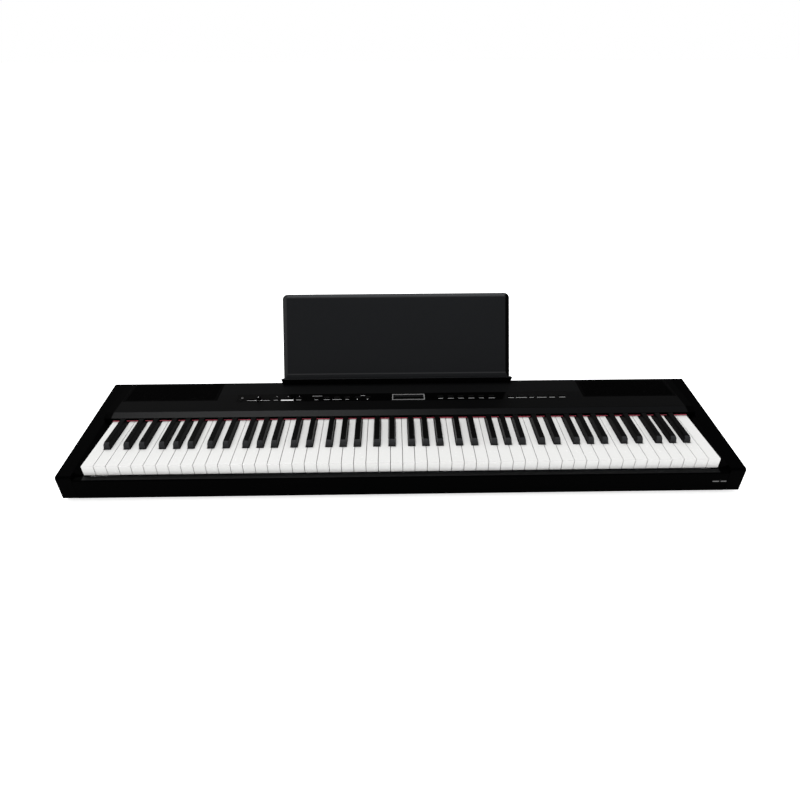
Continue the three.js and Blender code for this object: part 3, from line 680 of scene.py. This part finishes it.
low, high = node_mm("power_button")
power_x, power_y = (low.x + high.x) / 2, (low.y + high.y) / 2
power_radius = (high.x - low.x) / 2
sections = [(power_radius, low.z), *[(power_radius - inset, high.z - drop) for inset, drop in POWER_EDGE]]
cap = loft([ring(power_x, power_y, r, z, 40) for r, z in sections])
solid("power_button_cap", cap, BUTTON, "power_button", "button_plastic", "power_button")

KNOB_LIFT = 0.5
KNOB_SKIRT = 2.0
KNOB_CORNER = 1.0
STEM_HALF_WIDTH, STEM_HALF_DEPTH, STEM_CORNER = 2.0, 1.0, 0.4
LINE_HALF, LINE_END, LINE_CORNER = 0.35, 3.4, 0.2


def add_knob():
    """The slider's dished cap and its stem, and the pale line across the cap."""
    low, high = node_mm("volume_knob")
    x, y = (low.x + high.x) / 2, (low.y + high.y) / 2
    base = COVER_TOP + KNOB_LIFT
    sections = [(0.0, base), (0.1, base + KNOB_SKIRT)]
    sections += [(inset, high.z - drop) for inset, drop in KNOB_EDGE]
    knob = pad(low.x, high.x, low.y, high.y, KNOB_CORNER, sections)
    knob += pad(x - STEM_HALF_WIDTH, x + STEM_HALF_WIDTH, y - STEM_HALF_DEPTH, y + STEM_HALF_DEPTH,
                STEM_CORNER, [(0.0, low.z), (0.0, base + 0.4)])
    solid("volume_knob_cap", knob, BUTTON, "volume_knob", "button_plastic", "volume_knob")
    line = pad(x - LINE_HALF, x + LINE_HALF, low.y + LINE_END, high.y - LINE_END, LINE_CORNER,
               [(0.0, high.z - 0.9), (0.0, high.z - 0.45)])
    solid("volume_knob_line", line, PRINT_BRIGHT, "volume_knob", "button_plastic")


add_knob()

# ---------------------------------------------------------------- printed marks

# One dash in front of each button, by its width; 0 is no dash.
DASH_WIDTHS = {
    "function_button": [11, 13, 12.5, 13, 10, 14],
    "tone_button": [12.5, 24, 10, 21, 13, 14],
    "sound_button": [8, 13, 20.5, 8, 0, 0],
    "rhythm_button": [9, 0, 11],
}
DASH_HEIGHT = 1.2
# The rows of marks in front of the buttons and behind them.
LABEL_Y = 208.0
UPPER_Y = 223.0
# Marks that belong to one button, from its ends or from its middle.
BRIGHT_DASH_REACH, BRIGHT_DASH_HEIGHT = 7.5, 3.2
FIRST_SOUND_REACH = (4.0, 5.0)
FIFTH_SOUND_DOTS = (-0.5, 22.3)
FIFTH_SOUND_DASH = (6.6, 15.8)
# The slider's scale: a bright stretch between two plain ones, each (x0, x1).
SCALE_Y = 207.4
SCALE_LEFT, SCALE_MIDDLE, SCALE_RIGHT = (-338.8, -322.0), (-322.0, -305.0), (-303.0, -289.0)
# The generic standby sign behind the power button.
SIGN_Y = power_y + 8.0
SIGN_RADIUS, SIGN_WIDTH = 1.6, 0.5
SIGN_START, SIGN_END = -240.0, 60.0
SIGN_FOOT, SIGN_TIP = 0.2, 2.2


def add_marks():
    """The marks round the controls: dashes, dots, the slider's scale and the standby sign."""
    plain, bright = [], []
    for group, widths in DASH_WIDTHS.items():
        for i, width in enumerate(widths):
            low, high = node_mm(f"{group}_{i + 1}")
            x = (low.x + high.x) / 2
            if width:
                plain.extend(bar(x - width / 2, x + width / 2, LABEL_Y, DASH_HEIGHT))
            if group == "rhythm_button":
                plain.extend(dot(x, UPPER_Y, 0.9))
    low, high = node_mm("rhythm_button_2")
    left, right = low.x - BRIGHT_DASH_REACH, high.x + BRIGHT_DASH_REACH
    bright.extend(bar(left, right, LABEL_Y - 0.6, BRIGHT_DASH_HEIGHT))
    low, high = node_mm("sound_button_1")
    plain.extend(bar(low.x - FIRST_SOUND_REACH[0], high.x + FIRST_SOUND_REACH[1], UPPER_Y, 1.0))
    low, high = node_mm("sound_button_5")
    fifth = (low.x + high.x) / 2
    for offset in FIFTH_SOUND_DOTS:
        bright.extend(dot(fifth + offset, LABEL_Y, 1.0))
    start, end = FIFTH_SOUND_DASH
    plain.extend(bar(fifth + start, fifth + end, UPPER_Y, DASH_HEIGHT))
    plain.extend(bar(*SCALE_LEFT, SCALE_Y, 1.0))
    bright.extend(bar(*SCALE_MIDDLE, SCALE_Y, 1.2))
    plain.extend(bar(*SCALE_RIGHT, SCALE_Y, 1.0))
    plain.extend(arc(power_x, SIGN_Y, SIGN_RADIUS, SIGN_START, SIGN_END, SIGN_WIDTH))
    half = SIGN_WIDTH / 2
    plain.extend(pad(power_x - half, power_x + half, SIGN_Y + SIGN_FOOT, SIGN_Y + SIGN_TIP, 0.2,
                     [(0.0, COVER_TOP - SUNK), (0.0, COVER_TOP + PROUD)]))
    solid("panel_marks", plain, PRINT, "case", "gloss_panel")
    solid("panel_marks_bright", bright, PRINT_BRIGHT, "case", "gloss_panel")


add_marks()

# ---------------------------------------------------------------- keys

OCTAVE = ["c", "cs", "d", "ds", "e", "f", "fs", "g", "gs", "a", "as", "b"]
KEY_COUNT = 88
LOWEST_NOTE = 21
FIRST_MOVING_NOTE = 60
BLACK_OFFSET = {"cs": -3.4, "ds": 3.4, "fs": -4.7, "gs": 0.0, "as": 4.7}
WHITE_PITCH = 23.5
WHITE_COUNT = 52
KEY_GAP = 1.0
KEY_REAR = 200.0
NOTCH = 51.5
SLOT_HALF = 7.5
LIP = 6.0
LIP_REAR = 10.0
LIP_BOTTOM = -21.5
STICK_BOTTOM = -12.0


def white_edge(index):
    """The x of the left edge of a white key's share of the keyboard."""
    return (index - WHITE_COUNT / 2) * WHITE_PITCH


keys = []
whites = 0
for note in range(LOWEST_NOTE, LOWEST_NOTE + KEY_COUNT):
    pitch_class = OCTAVE[note % len(OCTAVE)]
    key = {
        "name": f"key_{pitch_class}{note // len(OCTAVE) - 1}",
        "moving": FIRST_MOVING_NOTE <= note < FIRST_MOVING_NOTE + len(OCTAVE),
        "black": pitch_class in BLACK_OFFSET,
    }
    if key["black"]:
        key["x"] = white_edge(whites) + BLACK_OFFSET[pitch_class]
    else:
        key["index"] = whites
        whites += 1
    keys.append(key)


def white_faces(position):
    """A white key: a full-width head with a tall front lip, and a tail narrowed beside the black keys."""
    index = keys[position]["index"]
    left, right = white_edge(index) + KEY_GAP / 2, white_edge(index + 1) - KEY_GAP / 2
    before = keys[position - 1] if position else None
    after = keys[position + 1] if position < KEY_COUNT - 1 else None
    tail_left = before["x"] + SLOT_HALF if before and before["black"] else left
    tail_right = after["x"] - SLOT_HALF if after and after["black"] else right
    low, lip = STICK_BOTTOM, LIP_BOTTOM
    plan = [(left, 0), (right, 0), (right, NOTCH), (tail_right, NOTCH), (tail_right, KEY_REAR),
            (tail_left, KEY_REAR), (tail_left, NOTCH), (left, NOTCH)]
    foot = [(left, LIP_REAR), (right, LIP_REAR), *plan[2:]]
    faces = [[(x, y, 0) for x, y in plan], [(x, y, low) for x, y in foot]]
    front = [(0, 0), (0, lip), (LIP, lip), (LIP_REAR, low)]
    for (y0, z0), (y1, z1) in zip(front, front[1:]):
        faces.append([(left, y0, z0), (right, y0, z0), (right, y1, z1), (left, y1, z1)])
    for x in (left, right):
        faces.append([(x, y, z) for y, z in (*front, (NOTCH, low), (NOTCH, 0))])
    tail = [(NOTCH, 0), (NOTCH, low), (KEY_REAR, low), (KEY_REAR, 0)]
    for x in (tail_left, tail_right):
        faces.append([(x, y, z) for y, z in tail])
    for a, b in ((left, tail_left), (right, tail_right)):
        if a != b:
            faces.append([(a, NOTCH, 0), (b, NOTCH, 0), (b, NOTCH, low), (a, NOTCH, low)])
    end = [(tail_left, 0), (tail_right, 0), (tail_right, low), (tail_left, low)]
    faces.append([(x, KEY_REAR, z) for x, z in end])
    return faces


BLACK_FRONT = 53.3
CAP_REAR = 141.5
RISE = 12.5
BASE_HALF = 6.7
CREST_HALF = 5.2
# The cap's front face leans back a little, then a slope runs up to the crest.
FACE_LEAN = 1.0
SLOPE_RISE = 3.0
SLOPE_END = 5.5
STICK_TOP = -1.0


def black_faces(x):
    """A black key: a tapered cap with a steep front and a slope above it, over a stick under the cover."""
    def half(z):
        return BASE_HALF - (BASE_HALF - CREST_HALF) * max(z, 0.0) / RISE

    side = [(BLACK_FRONT, STICK_BOTTOM), (BLACK_FRONT, 0.0), (BLACK_FRONT + FACE_LEAN, RISE - SLOPE_RISE),
            (BLACK_FRONT + SLOPE_END, RISE), (CAP_REAR, RISE), (CAP_REAR, 0.0), (CAP_REAR, STICK_TOP),
            (KEY_REAR, STICK_TOP), (KEY_REAR, STICK_BOTTOM)]
    upper = side[1:6]
    lower = [*side[:2], *side[5:]]
    faces = []
    for sign in (-1, 1):
        faces.append([(x + sign * half(z), y, z) for y, z in upper])
        faces.append([(x + sign * half(z), y, z) for y, z in lower])
    for (y0, z0), (y1, z1) in zip(side, [*side[1:], side[0]]):
        a, b = half(z0), half(z1)
        faces.append([(x - a, y0, z0), (x + a, y0, z0), (x + b, y1, z1), (x - b, y1, z1)])
    return faces


for position, key in enumerate(keys):
    name = f"{key['name']}_cap"
    body = key["name"] if key["moving"] else "case"
    comb = "black_keys" if key["black"] else "white_keys"
    node = key["name"] if key["moving"] else comb
    if key["black"]:
        mesh = mesh_of(name, black_faces(key["x"]))
        # The cap's forward faces get a much paler colour than the rest of it: a painted highlight for the
        # light they catch.
        for polygon in mesh.polygons:
            polygon.material_index = int(polygon.normal.y < -0.5)
        piece(name, mesh, [BLACK, BLACK_FRONT_PAINTED_HIGHLIGHT], body, "black_key", node, bevel=0.6)
    else:
        solid(name, white_faces(position), WHITE, body, "white_key", node, bevel=0.45)

carry("key_frame", STEEL, "steel", bevel=0.3)

FELT_STEPS = 900
FELT_WANDER, FELT_WANDER_RATE = 0.18, 0.35
FELT_LIFT, FELT_LIFT_RATE = 0.15, 0.6


def add_felt():
    """The name felt: a soft strip whose front edge wanders and is rounded over."""
    low, high = node_mm("name_felt")
    rings = []
    for i in range(FELT_STEPS + 1):
        x = low.x + (high.x - low.x) * i / FELT_STEPS
        wander = FELT_WANDER * noise.noise(Vector((x * FELT_WANDER_RATE, 0.0, 0.0))) + FELT_WANDER
        lift = FELT_LIFT * abs(noise.noise(Vector((x * FELT_LIFT_RATE, 7.0, 0.0))))
        front = low.y + wander
        rings.append([
            (x, front, low.z + 0.1), (x, front, high.z - 0.45 - lift), (x, front + 0.4, high.z - 0.1 - lift),
            (x, high.y, high.z), (x, high.y, low.z),
        ])
    solid("name_felt_strip", loft(rings), FELT, "case", "red_felt", "name_felt")


add_felt()

# ---------------------------------------------------------------- electronics and sockets

carry("main_board", CIRCUIT, "circuit_board", bevel=0.2)
carry("jack_block", SOCKET, "jack_plastic", bevel=0.3)

# The sockets are shallow recesses in the wall of one bay. Their x is from the bay's left end.
block_low, block_high = node_mm("jack_block")
BAY_LEFT = block_low.x + 6.0
BAY_WALL = block_high.y - 16.0
SOCKET_Z = -33.0
SOCKET_FLOOR = BAY_WALL - 1.5
OUTPUTS = {"pedal": 61.0, "left_output": 83.0, "right_output": 105.0}
POWER_SOCKET = 14.0
DATA_SOCKET = 37.5
BORE, RING_RADIUS = 3.1, 5.3
TONGUE_HALF_WIDTH, TONGUE_HALF_HEIGHT = 2.7, 1.5


def back_ring(x, sections, steps=32):
    """Rings round a socket's axis, which runs along y: sections are (radius, y)."""
    turns = [2 * math.pi * i / steps for i in range(steps)]
    return [[(x + r * math.cos(a), y, SOCKET_Z + r * math.sin(a)) for a in turns] for r, y in sections]


for name, x in OUTPUTS.items():
    lip = [(BORE, SOCKET_FLOOR + 0.1), (BORE, BAY_WALL + 0.5), (BORE + 0.4, BAY_WALL + 0.9),
           (RING_RADIUS - 0.4, BAY_WALL + 0.9), (RING_RADIUS, BAY_WALL + 0.6), (RING_RADIUS, BAY_WALL - 0.1)]
    rings = back_ring(BAY_LEFT + x, lip)
    solid(f"{name}_socket_ring", loft(rings, closed=(False, False)), NICKEL, "case", "steel")

pin = [(1.0, SOCKET_FLOOR - 0.1), (1.0, BAY_WALL - 0.6), (0.6, BAY_WALL - 0.2)]
solid("power_socket_pin", loft(back_ring(BAY_LEFT + POWER_SOCKET, pin, 16)), NICKEL, "case", "steel")

tongue_x = BAY_LEFT + DATA_SOCKET
tongue = []
for y in (SOCKET_FLOOR - 0.1, BAY_WALL - 0.2):
    signs = ((-1, -1), (1, -1), (1, 1), (-1, 1))
    tongue.append([
        (tongue_x + sx * TONGUE_HALF_WIDTH, y, SOCKET_Z + sz * TONGUE_HALF_HEIGHT) for sx, sz in signs
    ])
solid("data_socket_tongue", loft(tongue), PRINT_BRIGHT, "case", "jack_plastic", bevel=0.2)

# ---------------------------------------------------------------- music rest

# The panel's own frame: u to the treble, v up the panel, w out of its front face.
LEAN = math.radians(30)
UP = Vector((0.0, math.sin(LEAN), math.cos(LEAN)))
OUT = Vector((0.0, -math.cos(LEAN), math.sin(LEAN)))
rest_low, rest_high = node_mm("music_rest")
REST_X = (rest_low.x + rest_high.x) / 2
REST_THICK = 5.0
REST_HALF = 259.5
REST_HEIGHT = 190.0
REST_BOTTOM = -6.0
REST_CORNER = 12.0
LEDGE_TOP = 26.5
LEDGE_FRONT, LEDGE_WALL, LEDGE_REAR = 273.0, 276.0, 285.0
LEDGE_FLOOR = 23.0
LEDGE_TAPER = 3.4
LEDGE_CLEARANCE = 0.3
REST_FOOT = Vector((REST_X, 281.0, LEDGE_TOP)) - REST_THICK * OUT
FIELD_BOTTOM = 7.6
RIM_WIDTH = 8.6
TOP_EDGE = 4.2
BLADE_HALF, BLADE_TAPER = 190.0, 4.0
BLADE_DEPTH = 9.0
BLADE_REAR, BLADE_FRONT = 1.0, 4.0


def rest_point(u, v, w):
    return tuple(REST_FOOT + Vector((u, 0.0, 0.0)) + v * UP + w * OUT)


def rest_outline(inset, w, foot, steps=10):
    """The panel's outline at depth w: round top corners, near-square bottom ones."""
    half, high, low = REST_HALF - inset, REST_HEIGHT - inset, foot + inset
    round_top = REST_CORNER - min(inset, REST_CORNER - 2.0)
    corners = [(half, low, 0.5, -90.0), (half, high, round_top, 0.0),
               (-half, high, round_top, 90.0), (-half, low, 0.5, 180.0)]
    points = []
    for cu, cv, r, start in corners:
        su = 1 if cu > 0 else -1
        sv = 1 if cv > 0 else -1
        for i in range(steps + 1):
            a = math.radians(start + 90.0 * i / steps)
            points.append(rest_point(cu - su * r + r * math.cos(a), cv - sv * r + r * math.sin(a), w))
    return points


def add_panel():
    """The rest's panel, with a raised rim round a shallow field on both faces. On its front the rim's left
    side, top and the field's lower border are painted lighter and its right side darker, as painted light and
    shade, with a painted highlight on the top edge.
    """
    looks = [REST_PLASTIC_AND_LEDGE_HIGHLIGHT, RIM_PAINTED_LIGHT, LEDGE_BLACK_AND_RIM_SHADE, RIM_TOP_PAINTED_HIGHLIGHT]
    front, bottom, field = REST_THICK, REST_BOTTOM, FIELD_BOTTOM
    # Each section is (inset, depth w, bottom edge before the inset), from the rear field to the front one.
    sections = [
        (11.0, 0.6, field - 11.0), (10.0, 0.5, field - 10.0), (9.0, 0.0, field - 9.0), (1.1, 0.0, bottom),
        (0.4, 0.3, bottom), (0.0, 1.0, bottom), (0.0, front - 1.3, bottom), (0.2, front - 0.7, bottom),
        (0.7, front - 0.2, bottom), (1.4, front, bottom), (6.6, front, field - 8.2),
        (7.4, front - 0.2, field - 7.6), (8.0, front - 0.7, field - 7.0), (8.8, front - 0.8, field - 6.4),
    ]
    panel = loft([rest_outline(inset, w, foot) for inset, w, foot in sections])
    mesh = mesh_of("music_rest_panel", panel)
    for polygon in mesh.polygons:
        place = in_mm(polygon.center) - REST_FOOT
        u, v, w = place.x, place.dot(UP), place.dot(OUT)
        on_lit_left_or_top = u < RIM_WIDTH - REST_HALF or v > REST_HEIGHT - RIM_WIDTH
        look = REST_PLASTIC_AND_LEDGE_HIGHLIGHT
        if w > 1.2:
            # On the front face: the rim's right side gets painted shade, the top edge a painted highlight,
            # and the rim's left side, top and the field's lower border painted light.
            if u > REST_HALF - RIM_WIDTH:
                look = LEDGE_BLACK_AND_RIM_SHADE
            elif v > REST_HEIGHT - TOP_EDGE:
                look = RIM_TOP_PAINTED_HIGHLIGHT
            elif on_lit_left_or_top or field - 1.6 < v < field + 2.4:
                look = RIM_PAINTED_LIGHT
        polygon.material_index = looks.index(look)
    piece("music_rest_panel", mesh, looks, "music_rest", "rest_plastic", "music_rest")


def add_ledge():
    """The ledge that the music stands on, with a lip in front. Its ends lean in towards the cover."""
    low = COVER_TOP + LEDGE_CLEARANCE
    half = (rest_high.x - rest_low.x) / 2
    profile = [(LEDGE_FRONT, low), (LEDGE_REAR - 1.0, low), (LEDGE_REAR, LEDGE_FLOOR),
               (LEDGE_WALL, LEDGE_FLOOR), (LEDGE_WALL, LEDGE_TOP), (LEDGE_FRONT, LEDGE_TOP)]
    rings = []
    for sign in (-1, 1):
        rings.append([
            (REST_X + sign * (half - LEDGE_TAPER * (LEDGE_TOP - z) / (LEDGE_TOP - low)), y, z)
            for y, z in profile
        ])
    mesh = mesh_of("music_rest_ledge", loft(rings))
    for polygon in mesh.polygons:
        # The ledge's upward faces get the rest's paler grey: a painted highlight on its top.
        polygon.material_index = int(polygon.normal.z > 0.8)
    piece("music_rest_ledge", mesh, [LEDGE_BLACK_AND_RIM_SHADE, REST_PLASTIC_AND_LEDGE_HIGHLIGHT], "music_rest", "rest_plastic", "music_rest", bevel=0.6)


def add_blade():
    """The plain blade that stands in the cover's slot."""
    reach = (LEDGE_TOP - COVER_TOP) / math.cos(LEAN) + BLADE_DEPTH
    tip = BLADE_HALF - BLADE_TAPER
    outline = [(-BLADE_HALF, REST_BOTTOM), (BLADE_HALF, REST_BOTTOM), (tip, -reach), (-tip, -reach)]
    rings = [[rest_point(u, v, w) for u, v in outline] for w in (BLADE_REAR, BLADE_FRONT)]
    solid("music_rest_blade", loft(rings), LEDGE_BLACK_AND_RIM_SHADE, "music_rest", "rest_plastic", "music_rest", bevel=0.5)


add_panel()
add_ledge()
add_blade()

# ---------------------------------------------------------------- floor and light

FLOOR_HALF = 30.0
floor_corners = [(x * FLOOR_HALF, y * FLOOR_HALF, 0) for x, y in ((-1, -1), (1, -1), (1, 1), (-1, 1))]
floor_mesh = bpy.data.meshes.new("floor")
floor_mesh.from_pydata(floor_corners, [], [(0, 1, 2, 3)])
floor = bpy.data.objects.new("floor", floor_mesh)
# The floor gives some light itself, which keeps the case's shadow faint.
floor_mesh.materials.append(surface("floor_white", grey(0.90), grey(0.93), (0.7, 0.8), patch=2.0, bump=0.0,
                                    Specular_IOR_Level=0.1, Emission_Color=(1.0, 1.0, 1.0, 1.0),
                                    Emission_Strength=0.66))
bpy.context.scene.collection.objects.link(floor)

# The studio's grey by height: white at the horizon, darker higher up, and paler again overhead.
SKY_ENDS = ((0, 1.0), (-1, 0.8))
SKY_STOPS = ((0.08, 1.0), (0.45, 0.62), (0.80, 0.62))

world = bpy.data.worlds.new("studio")
bpy.context.scene.world = world
world.use_nodes = True
tree = world.node_tree
direction = tree.nodes.new("ShaderNodeTexCoord")
split = tree.nodes.new("ShaderNodeSeparateXYZ")
fade = tree.nodes.new("ShaderNodeValToRGB")
for position, level in SKY_STOPS:
    stop = fade.color_ramp.elements.new(position)
    stop.color = (level, level, level, 1.0)
for end, level in SKY_ENDS:
    fade.color_ramp.elements[end].color = (level, level, level, 1.0)
tree.links.new(direction.outputs["Generated"], split.inputs["Vector"])
tree.links.new(split.outputs["Z"], fade.inputs["Fac"])
tree.links.new(fade.outputs["Color"], tree.nodes["Background"].inputs["Color"])
tree.nodes["Background"].inputs["Strength"].default_value = 1.0


def add_sun(name, azimuth, elevation, strength, angle):
    """A soft directional light. Azimuth 0 comes from the player's side, and grows towards the treble."""
    data = bpy.data.lights.new(name, "SUN")
    data.energy = strength
    data.angle = math.radians(angle)
    lamp = bpy.data.objects.new(name, data)
    a, e = math.radians(azimuth), math.radians(elevation)
    source = Vector((math.sin(a) * math.cos(e), -math.cos(a) * math.cos(e), math.sin(e)))
    lamp.rotation_euler = source.to_track_quat("Z", "Y").to_euler()
    bpy.context.scene.collection.objects.link(lamp)


add_sun("key_light", -153.0, 61.0, strength=2.2, angle=27.0)
add_sun("fill_light", -40.0, 33.0, strength=0.15, angle=50.0)
